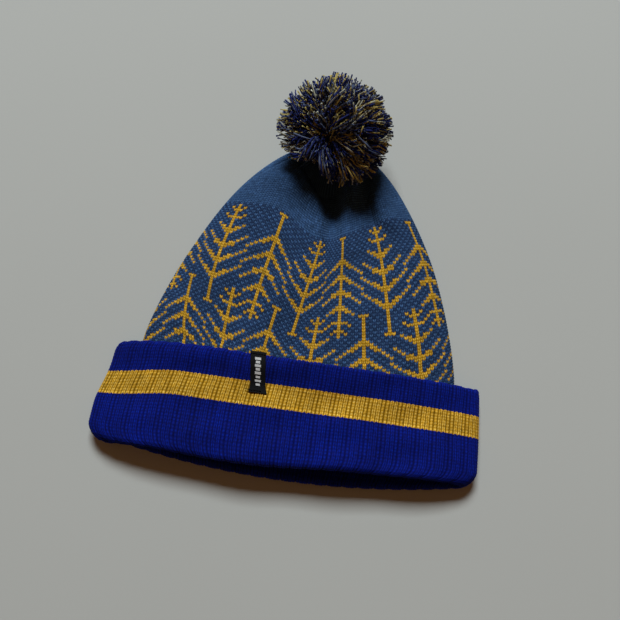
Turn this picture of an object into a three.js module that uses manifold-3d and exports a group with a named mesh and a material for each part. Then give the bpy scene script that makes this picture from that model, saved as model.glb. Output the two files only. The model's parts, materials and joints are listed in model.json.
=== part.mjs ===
// A knitted beanie with a yarn pom, laid flat as it is folded for a shelf.
// Millimetres. X runs across the hem, +Y from the hem to the pom, +Z up from the surface it lies on.
// The hat is a flattened tube: a front layer over a back layer, joined round two soft side folds.
// Every knitted ring is lofted from the same cross-section, so that the layers nest in each other.

import * as THREE from "three";
import { mergeVertices } from "three/addons/utils/BufferGeometryUtils.js";
import Module from "manifold-3d";

const wasm = await Module();
wasm.setup();

// ---------------------------------------------------------------- driving dimensions

const HEM_WIDTH = 225; // across the folded hem, laid flat
const CUFF_HEIGHT = 56; // hem fold to the cuff's top edge
const STRIPE_FROM = 27; // the gold stripe's lower and upper edges, above the hem
const STRIPE_TO = 40;
const CROWN_END = 206; // hem fold to the gathered end of the crown
const HEM_BOW = 12; // how far the back layer's hem bows out past the corners, and twice the front layer's
const LINK_HEIGHT = 38; // where the crown is linked to the rib, hidden by the cuff

const RIB_THICKNESS = 2.6; // rib knit, relaxed
const KNIT_THICKNESS = 2.2; // jacquard knit of the crown
const LAYER_GAP = 0.4; // air between nested layers
const JOIN_GAP = 0.3; // between pieces that meet edge to edge

const POM_RADIUS = 36;
const POM_CENTRE = new THREE.Vector3(4.5, 198, 33);
const POM_PIVOT = new THREE.Vector3(4.5, 199.5, 8); // the cord's hole in the gathered end
const YARN_BUNDLES = 8; // the pom is wound from this many bundles of strands

const MIDDLE_Y = (POM_CENTRE.y + POM_RADIUS - HEM_BOW) / 2; // of the whole hat, above the hem's corners

// How far inside the hat's outer envelope each layer's outer face lies.
const BAND_INSET = RIB_THICKNESS + LAYER_GAP;
const FOLD_RADIUS = RIB_THICKNESS + LAYER_GAP / 2;

// ---------------------------------------------------------------- materials

const wool = (color, roughness = 0.92) => new THREE.MeshStandardMaterial({ color, roughness, metalness: 0 });
const ROYAL_RIB = 0x141f8c;
const GOLD_YARN = 0xcda62e;
const SLATE_KNIT = 0x35506f;
const NAVY_YARN = 0x1b2350;
const IVORY_YARN = 0xb9b39b;
const BLACK_LABEL = 0x0b0b0d;
const WHITE_SATIN = 0xe8e6df;

// ---------------------------------------------------------------- the flattened tube's shape

const SECTION_POINTS = 20; // along the front layer, and again along the back layer
const CROWN_FROM = 58; // where the crown comes clear of the cuff
const CROWN_HALF_WIDTH = 93; // there
const crownSpan = CROWN_END - CROWN_FROM;
const crownShare = (y) => THREE.MathUtils.clamp((y - CROWN_FROM) / crownSpan, 0, 1);

// The cuff's outer envelope: half width, and height of the front face above the surface.
function cuffHalfWidth(y) {
  const cornerLength = 8;
  const corner = y < cornerLength ? 6 * (1 - y / cornerLength) ** 2 : 0;
  return HEM_WIDTH / 2 - corner - 2.5 * (y / CUFF_HEIGHT) ** 2;
}
const hemBow = (y) => HEM_BOW * (1 - Math.min(1, y / 44)) ** 2;
const cuffTop = (y) => 20 + 4.5 * Math.sin((Math.PI / 2) * Math.min(1, y / CUFF_HEIGHT));

// The crown draws in from the cuff's width, then rounds off to its gathered end.
function crownHalfWidth(y) {
  if (y < CROWN_FROM) return CROWN_HALF_WIDTH + 15.3 * ((CROWN_FROM - y) / 19.2) ** 2;
  return CROWN_HALF_WIDTH * Math.sqrt(Math.max(0, 1 - crownShare(y) ** 1.3));
}
const crownClosing = (y) => Math.sqrt(Math.max(0, 1 - crownShare(y) ** 30));
const crownTop = (y) => (y < CROWN_FROM ? cuffTop(y) - BAND_INSET : 9 + 12.5 * (1 - crownShare(y) ** 2) ** 1.2);
const crownBottom = (y) => BAND_INSET * (1 - THREE.MathUtils.smoothstep(y, CUFF_HEIGHT, 78));
const crownEdge = (y) => 4.5 + 3.5 * (1 - crownShare(y));

// A cross-section: its place along Y and how far it bows out there, its centre and half width, the heights of its
// bottom, side folds and top, and its lower corners' radius.
function cuffSection(y, inset) {
  return {
    y,
    bow: hemBow(y),
    centre: 0,
    halfWidth: cuffHalfWidth(y) - inset,
    bottom: inset,
    edge: 8,
    top: cuffTop(y) - inset,
    corner: 12 - inset,
  };
}

function crownSection(y, inset) {
  const halfWidth = Math.max(0.02, crownHalfWidth(y) - inset);
  const closing = crownClosing(y);
  const edge = crownEdge(y);
  return {
    y,
    bow: 0,
    centre: 4.5 * crownShare(y) ** 2,
    halfWidth,
    bottom: edge - Math.max(0.01, (edge - crownBottom(y)) * closing - inset),
    edge,
    top: edge + Math.max(0.01, (crownTop(y) - edge) * closing - inset),
    corner: Math.min(12 - inset, 0.9 * halfWidth),
  };
}

// Height of a section's front and back layer at x.
function frontHeight(s, x) {
  const share = Math.min(1, Math.abs(x - s.centre) / s.halfWidth);
  return s.edge + (s.top - s.edge) * Math.sqrt(1 - share ** 3);
}

function backHeight(s, x) {
  const past = Math.abs(x - s.centre) - (s.halfWidth - s.corner);
  const share = THREE.MathUtils.clamp(past / s.corner, 0, 1);
  return s.edge - (s.edge - s.bottom) * Math.sqrt(1 - share ** 2);
}

// One ring of points: along the front layer from the left fold to the right one, and back underneath.
function sectionRing(s) {
  const ring = [];
  for (let i = 0; i < 2 * SECTION_POINTS; i++) {
    const x = s.centre - s.halfWidth * Math.cos((Math.PI * i) / SECTION_POINTS);
    const inFront = i < SECTION_POINTS;
    const z = inFront ? frontHeight(s, x) : backHeight(s, x);
    const bow = s.bow * (inFront ? 0.5 : 1) * Math.max(0, 1 - (2 * x / HEM_WIDTH) ** 2);
    ring.push(new THREE.Vector3(x, s.y - bow, z));
  }
  return ring;
}

// ---------------------------------------------------------------- solids from rings

function geometryOf(points, triangles) {
  const geometry = new THREE.BufferGeometry().setFromPoints(points);
  geometry.setIndex(triangles);
  geometry.computeVertexNormals();
  return geometry;
}

// Joins rings of equal length into one closed skin. A closed profile runs from the last ring to the first;
// an open one starts and ends at a pole, the middle of its first and last ring.
function loft(rings, closedProfile) {
  const size = rings[0].length;
  const points = rings.flat();
  const triangles = [];
  const bands = closedProfile ? rings.length : rings.length - 1;
  for (let r = 0; r < bands; r++) {
    const here = r * size;
    const next = ((r + 1) % rings.length) * size;
    for (let i = 0; i < size; i++) {
      const j = (i + 1) % size;
      triangles.push(here + i, next + i, here + j, here + j, next + i, next + j);
    }
  }
  if (!closedProfile) {
    for (const [ring, forward] of [[0, true], [rings.length - 1, false]]) {
      const pole = points.length;
      const middle = new THREE.Vector3();
      rings[ring].forEach((p) => middle.addScaledVector(p, 1 / size));
      points.push(middle);
      for (let i = 0; i < size; i++) {
        const j = (i + 1) % size;
        const pair = [ring * size + i, ring * size + j];
        triangles.push(...(forward ? pair : pair.reverse()), pole);
      }
    }
  }
  return geometryOf(points, triangles);
}

// A ring of knit whose profile is a list of [height above the hem, inset from the outer face].
function knitRing(profile, section) {
  return loft(profile.map(([y, inset]) => sectionRing(section(y, inset))), true);
}

// The profile of a plain band between two heights, with stations shared by all layers.
const CUFF_STATIONS = [5, 8, 14, 21, 33, 46];
function bandProfile(from, to, outer, thickness) {
  const inside = CUFF_STATIONS.filter((y) => y > from + 0.8 && y < to - 0.8);
  const heights = [from, ...inside, to];
  const outside = heights.map((y) => [y, outer]);
  const inner = heights.map((y) => [y, outer + thickness]).reverse();
  return [...outside.reverse(), ...inner.reverse()];
}

// ---------------------------------------------------------------- booleans

function solidFrom(geometry) {
  const bare = geometry.clone();
  bare.deleteAttribute("normal");
  bare.deleteAttribute("uv");
  const merged = mergeVertices(bare, 1e-4);
  return new wasm.Manifold(
    new wasm.Mesh({
      numProp: 3,
      vertProperties: merged.attributes.position.array,
      triVerts: new Uint32Array(merged.index.array),
    }),
  );
}

function geometryFrom(solid) {
  const mesh = solid.getMesh();
  const geometry = new THREE.BufferGeometry();
  geometry.setAttribute("position", new THREE.BufferAttribute(mesh.vertProperties, 3));
  geometry.setIndex(new THREE.BufferAttribute(mesh.triVerts, 1));
  geometry.computeVertexNormals();
  return geometry;
}

// ---------------------------------------------------------------- assembly

const hat = new THREE.Group();
const layFlat = new THREE.Group(); // heights above the hem become positions about the middle
layFlat.position.y = -MIDDLE_Y;
hat.add(layFlat);

function addPiece(parent, name, geometry, color, roughness) {
  const mesh = new THREE.Mesh(geometry, wool(color, roughness));
  mesh.name = name;
  parent.add(mesh);
  return mesh;
}

// ---------------------------------------------------------------- rib: fold-up cuff and inner band

// The lower cuff carries the hem fold: its profile turns round the fold and ends just inside it.
function lowerCuffProfile() {
  const top = STRIPE_FROM - JOIN_GAP / 2;
  const outside = CUFF_STATIONS.filter((y) => y < top - 0.8);
  const fold = [];
  const foldSteps = 6;
  for (let i = 0; i <= foldSteps; i++) {
    const turn = (Math.PI * i) / foldSteps;
    fold.push([FOLD_RADIUS * (1 - Math.sin(turn)), FOLD_RADIUS * (1 - Math.cos(turn))]);
  }
  const lip = 4;
  return [
    [top, 0],
    ...outside.map((y) => [y, 0]).reverse(),
    ...fold,
    [lip, 2 * FOLD_RADIUS],
    [lip, BAND_INSET],
    [FOLD_RADIUS, BAND_INSET],
    [FOLD_RADIUS, RIB_THICKNESS],
    ...outside.map((y) => [y, RIB_THICKNESS]),
    [top, RIB_THICKNESS],
  ];
}

addPiece(layFlat, "cuff_lower_rib", knitRing(lowerCuffProfile(), cuffSection), ROYAL_RIB);
addPiece(
  layFlat,
  "cuff_gold_stripe",
  knitRing(bandProfile(STRIPE_FROM + JOIN_GAP / 2, STRIPE_TO - JOIN_GAP / 2, 0, RIB_THICKNESS), cuffSection),
  GOLD_YARN,
);
addPiece(
  layFlat,
  "cuff_upper_rib",
  knitRing(bandProfile(STRIPE_TO + JOIN_GAP / 2, CUFF_HEIGHT, 0, RIB_THICKNESS), cuffSection),
  ROYAL_RIB,
);
const INNER_BAND_FROM = 4.3;
const INNER_BAND_TO = LINK_HEIGHT - 0.6;
addPiece(
  layFlat,
  "inner_band",
  knitRing(bandProfile(INNER_BAND_FROM, INNER_BAND_TO, BAND_INSET, RIB_THICKNESS), cuffSection),
  ROYAL_RIB,
);

// The chain of linking thread between the rib and the crown.
const LINK_THREAD = 0.8;
const LINK_INSET = BAND_INSET + 0.9;
addPiece(
  layFlat,
  "link_seam",
  knitRing(bandProfile(LINK_HEIGHT - 0.3, LINK_HEIGHT + 0.5, LINK_INSET, LINK_THREAD), cuffSection),
  ROYAL_RIB,
);

// ---------------------------------------------------------------- crown

const CROWN_START = LINK_HEIGHT + 0.8;
const CROWN_STATIONS = [CROWN_START, 46, 58, 63, 68, 73, 78, 96, 114, 132, 148, 162, 174, 184, 192];
const CROWN_TIP_STATIONS = [198, 202, 204.5, 205.7];

function crownShell() {
  const outer = [...CROWN_STATIONS, ...CROWN_TIP_STATIONS].map((y) => sectionRing(crownSection(y, 0)));
  const innerTips = [197, 200.5, 203];
  const inner = [...CROWN_STATIONS, ...innerTips].map((y) => sectionRing(crownSection(y, KNIT_THICKNESS)));
  const skin = loft([...outer.reverse(), ...inner], false);
  const drill = new THREE.CylinderGeometry(2.6, 2.6, 12, 24).rotateX(Math.PI / 2);
  drill.translate(POM_PIVOT.x, POM_PIVOT.y, POM_PIVOT.z + 2.5);
  return geometryFrom(solidFrom(skin).subtract(solidFrom(drill)));
}
addPiece(layFlat, "crown_shell", crownShell(), SLATE_KNIT);

// ---------------------------------------------------------------- seams and threads of the crown

// A ribbon of thread on the inside of the back layer, closing the knitted tube from the hem to the end.
function backSeam() {
  const halfWidth = 1.2;
  const clearance = 0.35;
  const depth = 0.9;
  const heights = [6, 20, INNER_BAND_TO, ...CROWN_STATIONS.slice(1, -1)];
  const rings = heights.map((y) => {
    const inBand = y <= INNER_BAND_TO;
    const layer = inBand ? cuffSection(y, BAND_INSET + RIB_THICKNESS) : crownSection(y, KNIT_THICKNESS);
    const low = (inBand ? layer.bottom : backHeight(layer, layer.centre)) + clearance;
    const x = layer.centre;
    return [
      new THREE.Vector3(x - halfWidth, y, low),
      new THREE.Vector3(x - halfWidth, y, low + depth),
      new THREE.Vector3(x + halfWidth, y, low + depth),
      new THREE.Vector3(x + halfWidth, y, low),
    ];
  });
  return loft(rings.reverse(), false);
}
addPiece(layFlat, "back_seam", backSeam(), SLATE_KNIT);

// A closing thread of each crown dart, run along the inside of its layer towards the gathered end.
const DART_THREAD_RADIUS = 0.5;
function dartThread(side, front) {
  const clearance = 0.45 + DART_THREAD_RADIUS;
  const points = [];
  const steps = 5;
  for (let i = 0; i <= steps; i++) {
    const y = THREE.MathUtils.lerp(160, 192, i / steps);
    const layer = crownSection(y, KNIT_THICKNESS);
    const share = THREE.MathUtils.lerp(0.72, 0.45, i / steps);
    const x = layer.centre + side * share * layer.halfWidth;
    const z = front ? frontHeight(layer, x) - clearance : backHeight(layer, x) + clearance;
    points.push(new THREE.Vector3(x, y, z));
  }
  return threadAlong(points, DART_THREAD_RADIUS, 10);
}

// A round thread, eight-sided, swept along a curve through the points.
function threadAlong(points, radius, steps) {
  const section = new THREE.Shape();
  section.absarc(0, 0, radius, 0, 2 * Math.PI);
  const path = new THREE.CatmullRomCurve3(points);
  return new THREE.ExtrudeGeometry(section, { extrudePath: path, steps, curveSegments: 3, bevelEnabled: false });
}

for (const [sideName, side] of [["left", -1], ["right", 1]]) {
  addPiece(layFlat, `front_dart_seam_${sideName}`, dartThread(side, true), SLATE_KNIT);
  addPiece(layFlat, `back_dart_seam_${sideName}`, dartThread(side, false), SLATE_KNIT);
}

// The drawn-up thread round the hole that the pom's cord leaves through.
const GATHER_RADIUS = 3.9;
const GATHER_THREAD = 0.5;
const GATHER_HEIGHT = 2.8; // above the cord's hole
const gatherThread = new THREE.TorusGeometry(GATHER_RADIUS, GATHER_THREAD, 6, 20);
gatherThread.translate(POM_PIVOT.x, POM_PIVOT.y, POM_PIVOT.z + GATHER_HEIGHT);
addPiece(layFlat, "gather_thread", gatherThread, SLATE_KNIT);

// ---------------------------------------------------------------- woven label on the front of the cuff

const LABEL_WIDTH = 10.5;
const LABEL_CENTRE_X = -20.5;
const LABEL_FROM = 32;
const LABEL_TO = 55.5;
const LABEL_THICKNESS = 0.8;

// A thin slab that follows the cuff's front face between two heights and two places across it.
function slabOnCuff(centreX, width, fromY, toY, lift, thickness) {
  const lengthSteps = Math.max(1, Math.round((toY - fromY) / 4));
  const rings = [];
  for (let i = 0; i <= lengthSteps; i++) {
    const y = THREE.MathUtils.lerp(fromY, toY, i / lengthSteps);
    const face = cuffSection(y, 0);
    const [left, right] = [centreX - width / 2, centreX + width / 2];
    const [low, high] = [lift, lift + thickness];
    rings.push([
      new THREE.Vector3(left, y, frontHeight(face, left) + low),
      new THREE.Vector3(left, y, frontHeight(face, left) + high),
      new THREE.Vector3(right, y, frontHeight(face, right) + high),
      new THREE.Vector3(right, y, frontHeight(face, right) + low),
    ]);
  }
  return loft(rings.reverse(), false);
}

const LABEL_LIFT = 0.4;
const STITCH_DEPTH = 0.5;
const STITCH_LIFT = LABEL_LIFT + LABEL_THICKNESS + JOIN_GAP;
addPiece(
  layFlat,
  "woven_label",
  slabOnCuff(LABEL_CENTRE_X, LABEL_WIDTH, LABEL_FROM, LABEL_TO, LABEL_LIFT, LABEL_THICKNESS),
  BLACK_LABEL,
  0.7,
);
for (const [name, y] of [["label_stitch_bottom", LABEL_FROM + 1.4], ["label_stitch_top", LABEL_TO - 1.4]]) {
  const stitch = slabOnCuff(LABEL_CENTRE_X, LABEL_WIDTH - 1.5, y - 0.3, y + 0.3, STITCH_LIFT, STITCH_DEPTH);
  addPiece(layFlat, name, stitch, BLACK_LABEL, 0.8);
}

// ---------------------------------------------------------------- care label inside the band

// A satin tag on the back layer, sewn along its upper edge, so that its free end can lift.
const CARE_WIDTH = 28;
const CARE_LENGTH = 18;
const CARE_THICKNESS = 0.5;
const CARE_CENTRE_X = 22;
const CARE_SEWN_AT = 28; // the sewn edge's height above the hem
const CARE_BOTTOM = BAND_INSET + RIB_THICKNESS + JOIN_GAP + 0.05;

const careLabel = new THREE.BoxGeometry(CARE_WIDTH, CARE_LENGTH, CARE_THICKNESS);
careLabel.translate(CARE_CENTRE_X, CARE_SEWN_AT - CARE_LENGTH / 2, CARE_BOTTOM + CARE_THICKNESS / 2);
addPiece(layFlat, "care_label", careLabel, WHITE_SATIN, 0.5);

const careStitch = new THREE.BoxGeometry(CARE_WIDTH - 2, 0.7, STITCH_DEPTH);
careStitch.translate(CARE_CENTRE_X, CARE_SEWN_AT + 0.3 + 0.35, CARE_BOTTOM + STITCH_DEPTH / 2);
addPiece(layFlat, "care_label_stitch", careStitch, ROYAL_RIB);

// ---------------------------------------------------------------- pom

// The pom's own frame starts at the cord's hole, with its Z along the cord towards the pom's middle.
const pom = new THREE.Group();
pom.position.copy(POM_PIVOT);
const cordRun = POM_CENTRE.clone().sub(POM_PIVOT);
pom.rotation.x = Math.atan2(-cordRun.y, cordRun.z);
layFlat.add(pom);

const POM_HEIGHT = cordRun.length(); // hole to the pom's middle
const CORD_RADIUS = 0.8;
const CORD_BELOW = -1.9;
const CLOSING_KNOT_RADIUS = 1.2;
const TIE_RADIUS = 5; // round the waist of the yarn bundles
const TIE_THREAD = 0.9;
const TIE_KNOT_RADIUS = 1.6;
const tieKnotHeight = POM_HEIGHT - TIE_RADIUS - TIE_THREAD - JOIN_GAP - TIE_KNOT_RADIUS;
const cordTop = tieKnotHeight - TIE_KNOT_RADIUS - JOIN_GAP;

const closingKnot = new THREE.IcosahedronGeometry(CLOSING_KNOT_RADIUS, 1);
closingKnot.translate(0, 0, CORD_BELOW - JOIN_GAP - CLOSING_KNOT_RADIUS);
addPiece(pom, "closing_knot", closingKnot, NAVY_YARN);

const cord = new THREE.CylinderGeometry(CORD_RADIUS, CORD_RADIUS, cordTop - CORD_BELOW, 12).rotateX(Math.PI / 2);
cord.translate(0, 0, (cordTop + CORD_BELOW) / 2);
addPiece(pom, "pom_cord", cord, NAVY_YARN);

const tieKnot = new THREE.IcosahedronGeometry(TIE_KNOT_RADIUS, 1).translate(0, 0, tieKnotHeight);
addPiece(pom, "tie_knot", tieKnot, NAVY_YARN);

const waist = (threadRadius) =>
  new THREE.TorusGeometry(TIE_RADIUS, threadRadius, 8, 20).rotateY(Math.PI / 2).translate(0, 0, POM_HEIGHT);
addPiece(pom, "pom_tie", waist(TIE_THREAD), NAVY_YARN);

// The ball of cut strands: a sphere, pressed to a shallow cone where it sits on the crown, with a bore for the cord.
function pomBall() {
  const boreRadius = 2.1;
  const boreTop = tieKnotHeight + TIE_KNOT_RADIUS + 0.2;
  const coneFoot = 4.3; // the cone's height on the cord's line
  const coneSlope = 0.363;
  const coneRim = 35.1; // where the cone meets the sphere
  const rimAngle = -Math.acos(coneRim / POM_RADIUS);
  const profile = [
    new THREE.Vector2(0, boreTop),
    new THREE.Vector2(boreRadius, boreTop),
    new THREE.Vector2(boreRadius, coneFoot + coneSlope * boreRadius),
    new THREE.Vector2(12, coneFoot + coneSlope * 12),
  ];
  const arcSteps = 12;
  for (let i = 0; i <= arcSteps; i++) {
    const angle = THREE.MathUtils.lerp(rimAngle, Math.PI / 2, i / arcSteps);
    const radius = i === arcSteps ? 0 : POM_RADIUS * Math.cos(angle);
    profile.push(new THREE.Vector2(radius, POM_HEIGHT + POM_RADIUS * Math.sin(angle)));
  }
  return new THREE.LatheGeometry(profile, 32).rotateX(Math.PI / 2);
}

// One bundle's share of the ball: an open sector about the strands' own direction, X.
function bundleSector(index) {
  const half = Math.PI / YARN_BUNDLES;
  const reach = 3 * POM_RADIUS;
  const apex = JOIN_GAP / 2 / Math.sin(half);
  const sector = new THREE.Shape([
    new THREE.Vector2(apex, 0),
    new THREE.Vector2(apex + reach * Math.cos(half), -reach * Math.sin(half)),
    new THREE.Vector2(apex + reach * Math.cos(half), reach * Math.sin(half)),
  ]);
  const length = 2.4 * POM_RADIUS;
  const prism = new THREE.ExtrudeGeometry(sector, { depth: length, bevelEnabled: false });
  prism.translate(0, 0, -length / 2);
  prism.rotateZ(2 * half * (index + 0.5));
  prism.rotateY(Math.PI / 2);
  return prism.translate(0, 0, POM_HEIGHT);
}

const BUNDLE_YARNS = [
  ["navy", NAVY_YARN],
  ["gold", GOLD_YARN],
  ["slate", SLATE_KNIT],
  ["navy", NAVY_YARN],
  ["ivory", IVORY_YARN],
  ["navy", NAVY_YARN],
  ["gold", GOLD_YARN],
  ["slate", SLATE_KNIT],
];

const ball = solidFrom(pomBall()).subtract(solidFrom(waist(TIE_THREAD + JOIN_GAP)));
BUNDLE_YARNS.forEach(([yarn, color], index) => {
  const bundle = ball.intersect(solidFrom(bundleSector(index)));
  addPiece(pom, `pom_bundle_${index + 1}_${yarn}`, geometryFrom(bundle), color);
});

export default hat;
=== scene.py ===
import json
import math

import bpy
import numpy as np
from mathutils import Matrix, Vector


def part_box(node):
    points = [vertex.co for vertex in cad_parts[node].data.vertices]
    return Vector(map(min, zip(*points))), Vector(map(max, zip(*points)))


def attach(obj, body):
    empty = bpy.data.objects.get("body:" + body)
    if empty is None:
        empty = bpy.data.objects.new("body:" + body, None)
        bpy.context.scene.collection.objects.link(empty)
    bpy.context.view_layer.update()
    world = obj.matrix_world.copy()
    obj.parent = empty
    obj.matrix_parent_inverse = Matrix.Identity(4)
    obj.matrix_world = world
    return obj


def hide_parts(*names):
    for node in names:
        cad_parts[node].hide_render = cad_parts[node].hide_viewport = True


# A knitted beanie with a yarn pom, laid flat. Lengths are millimetres in the hat's own measure:
# x across the hem, y above the hem's corners, z above the floor. metres() takes them to the CAD frame.

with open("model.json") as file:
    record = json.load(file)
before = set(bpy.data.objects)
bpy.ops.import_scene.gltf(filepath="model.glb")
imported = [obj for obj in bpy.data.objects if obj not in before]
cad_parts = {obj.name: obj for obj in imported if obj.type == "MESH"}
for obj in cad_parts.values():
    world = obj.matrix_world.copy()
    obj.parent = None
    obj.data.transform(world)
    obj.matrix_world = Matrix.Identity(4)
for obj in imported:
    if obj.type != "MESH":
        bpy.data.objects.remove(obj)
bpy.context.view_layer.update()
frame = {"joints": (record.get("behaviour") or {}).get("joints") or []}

rng = np.random.default_rng(7)

# ---- sizes, from the CAD part

JOINTS = {joint["name"]: joint for joint in frame["joints"]}

HEM_WIDTH = 225.0
CUFF_HEIGHT = 56.0
STRIPE_FROM = 27.0
STRIPE_TO = 40.0
CROWN_FROM = 58.0
CROWN_END = 206.0  # the gathered end
CROWN_HALF_WIDTH = 93.0
HEM_BOW = 12.0  # how far the hem's middle bows out past its corners
LINK_HEIGHT = 38.0  # of the join between the inner band and the crown
RIB_THICKNESS = 2.6
KNIT_THICKNESS = 2.2
LAYER_GAP = 0.4
FLOOR_GAP = 0.1  # the lowest stitches lie this far above the floor
BAND_INSET = RIB_THICKNESS + LAYER_GAP
FOLD_RADIUS = RIB_THICKNESS + LAYER_GAP / 2

HEM_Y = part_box("cuff_upper_rib")[1][1] * 1000 - CUFF_HEIGHT  # the hem's corners, in the CAD frame


def metres(points):
    """Points in the hat's millimetres as metres in the CAD frame."""
    moved = np.array(points, dtype=float)
    moved[..., 1] += HEM_Y
    return moved / 1000


def hat_mm(place):
    """A place in the CAD frame, in metres, as the hat's millimetres."""
    return np.array(place) * 1000 - np.array([0, HEM_Y, 0])


PIVOT = hat_mm(JOINTS["pom_tilt"]["pos_m"])
POM_CENTRE = hat_mm(JOINTS["pom_twist"]["pos_m"])
POM_RADIUS = 36.8  # to the longest strands' tips


def smoothstep(value, low, high):
    """A smooth rise from 0 at low to 1 at high."""
    share = np.clip((value - low) / (high - low), 0, 1)
    return share * share * (3 - 2 * share)


def bump_at(value, middle, width):
    """A smooth hump of height 1 and the given half width about the middle."""
    return np.exp(-(((value - middle) / width) ** 2))


def between(value, start, full, fade, end):
    """1 from full to fade, and a smooth fall to 0 at start and at end."""
    return smoothstep(value, start, full) * (1 - smoothstep(value, fade, end))


def unit(vectors):
    """Vectors brought to length 1."""
    return vectors / np.maximum(1e-9, np.linalg.norm(vectors, axis=-1, keepdims=True))


def xyz(x, y, z):
    """Points from their coordinates, which may be arrays or single numbers."""
    return np.stack(np.broadcast_arrays(x, y, z), axis=-1).astype(float)


def lengths_along(points):
    """The length run along each row of points, from 0 at its first point."""
    steps = np.linalg.norm(np.diff(points, axis=-2), axis=-1)
    return np.concatenate([np.zeros((*steps.shape[:-1], 1)), np.cumsum(steps, axis=-1)], axis=-1)


# ---- the flattened tube's shape


CUFF_TOP = 20.6  # height of the cuff's front face at the hem
SIDE_RADIUS = 12.0  # of the tube's turn from its back layer to its side folds
CUFF_EDGE_HEIGHT = 8.0  # the side folds' height above the floor
CORNER_INSET = 6.0
CORNER_HEIGHT = 8.0  # the hem's corners are rounded over this height
SHOULDER_HEIGHT = 6.0  # and the free edge's over this one
FLARE = 15.3  # the crown widens below the cuff's free edge
FLARE_HEIGHT = 19.2


def cuff_sides(y):
    """How far the cuff's left and right folds lie from the hat's middle."""
    corner = CORNER_INSET * np.maximum(0, 1 - y / CORNER_HEIGHT) ** 2
    shoulder = (np.maximum(0, y - (CUFF_HEIGHT - SHOULDER_HEIGHT)) / SHOULDER_HEIGHT) ** 2
    even = HEM_WIDTH / 2 - corner - 2.5 * (y / CUFF_HEIGHT) ** 2
    left = even - 3.8 * smoothstep(y, 20, 46) - 2.4 * shoulder
    right = even - 0.6 * shoulder
    return left, right


def cuff_top(y):
    """Height of the cuff's front face: nearly level above the hem, then rising over the crown."""
    return CUFF_TOP + 0.5 * smoothstep(y, 0, 20) + 4.2 * smoothstep(y, 34, 55)


def cuff_section(y, inset):
    """The cuff's section at height y, inset from its outer face: its middle and half width, the heights of
    its bottom, side folds and top, and the radius of its lower corners."""
    y = np.asarray(y, dtype=float)
    left, right = cuff_sides(y)
    return {
        "centre": (right - left) / 2,
        "half_width": (right + left) / 2 - inset,
        "bottom": inset + 0 * y,
        "edge": CUFF_EDGE_HEIGHT + 0 * y,
        "top": cuff_top(y) - inset,
        "corner": SIDE_RADIUS - inset + 0 * y,
    }


def crown_section(y, inset):
    """The same for the crown."""
    y = np.asarray(y, dtype=float)
    share = np.clip((y - CROWN_FROM) / (CROWN_END - CROWN_FROM), 0, 1)
    closing = np.sqrt(np.maximum(0, 1 - share**30))
    below = CROWN_HALF_WIDTH + FLARE * ((CROWN_FROM - y) / FLARE_HEIGHT) ** 2
    above = CROWN_HALF_WIDTH * np.sqrt(np.maximum(0, 1 - share**1.3))
    half_width = np.maximum(0.5, np.where(y < CROWN_FROM, below, above) - inset)
    edge = 4.5 + 3.5 * (1 - share)
    top = np.where(y < CROWN_FROM, cuff_top(y) - BAND_INSET, 9 + 12.5 * (1 - share**2) ** 1.2)
    bottom = BAND_INSET * (1 - smoothstep(y, CUFF_HEIGHT, 78))
    return {
        "centre": 4.5 * share**2 + 1.8 * (1 - smoothstep(y, 120, 175)),
        "half_width": half_width,
        "bottom": edge - np.maximum(0.05, (edge - bottom) * closing - inset),
        "edge": edge,
        "top": edge + np.maximum(0.05, (top - edge) * closing - inset),
        "corner": np.minimum(SIDE_RADIUS - inset, 0.9 * half_width),
    }


def tube_x(section, across):
    """The x of a place `across`, from -1 at the left fold to 1 at the right."""
    return section["centre"] + across * section["half_width"]


def tube_height(section, across, in_front):
    """Height of the front or back layer at a place `across`."""
    rise = np.sqrt(np.maximum(0, 1 - np.abs(across) ** 3))
    front = section["edge"] + (section["top"] - section["edge"]) * rise
    past = np.abs(across) * section["half_width"] - (section["half_width"] - section["corner"])
    share = np.clip(past / section["corner"], 0, 1)
    back = section["edge"] - (section["edge"] - section["bottom"]) * np.sqrt(1 - share**2)
    return np.where(in_front, front, back)


def soft_waves(x, y, size, turn):
    """Slow, uneven ups and downs of about the given size, as relaxed knit lies."""
    a = np.sin(0.071 * x + 0.052 * y + turn) * np.sin(0.043 * x - 0.083 * y + 2.1 * turn)
    b = np.sin(0.131 * x - 0.117 * y + 1.7 * turn + 1.0)
    return size * (0.75 * a + 0.35 * b)


# ---- meshes


def grid_faces(rows, columns, wrap=True):
    """Quads of a grid of rows, closed into a ring where it wraps."""
    across = columns if wrap else columns - 1
    row, column = np.meshgrid(np.arange(rows - 1), np.arange(across), indexing="ij")
    after = (column + 1) % columns
    low, high = row * columns, (row + 1) * columns
    return np.stack([low + column, low + after, high + after, high + column], axis=-1).reshape(-1, 4)


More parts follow.
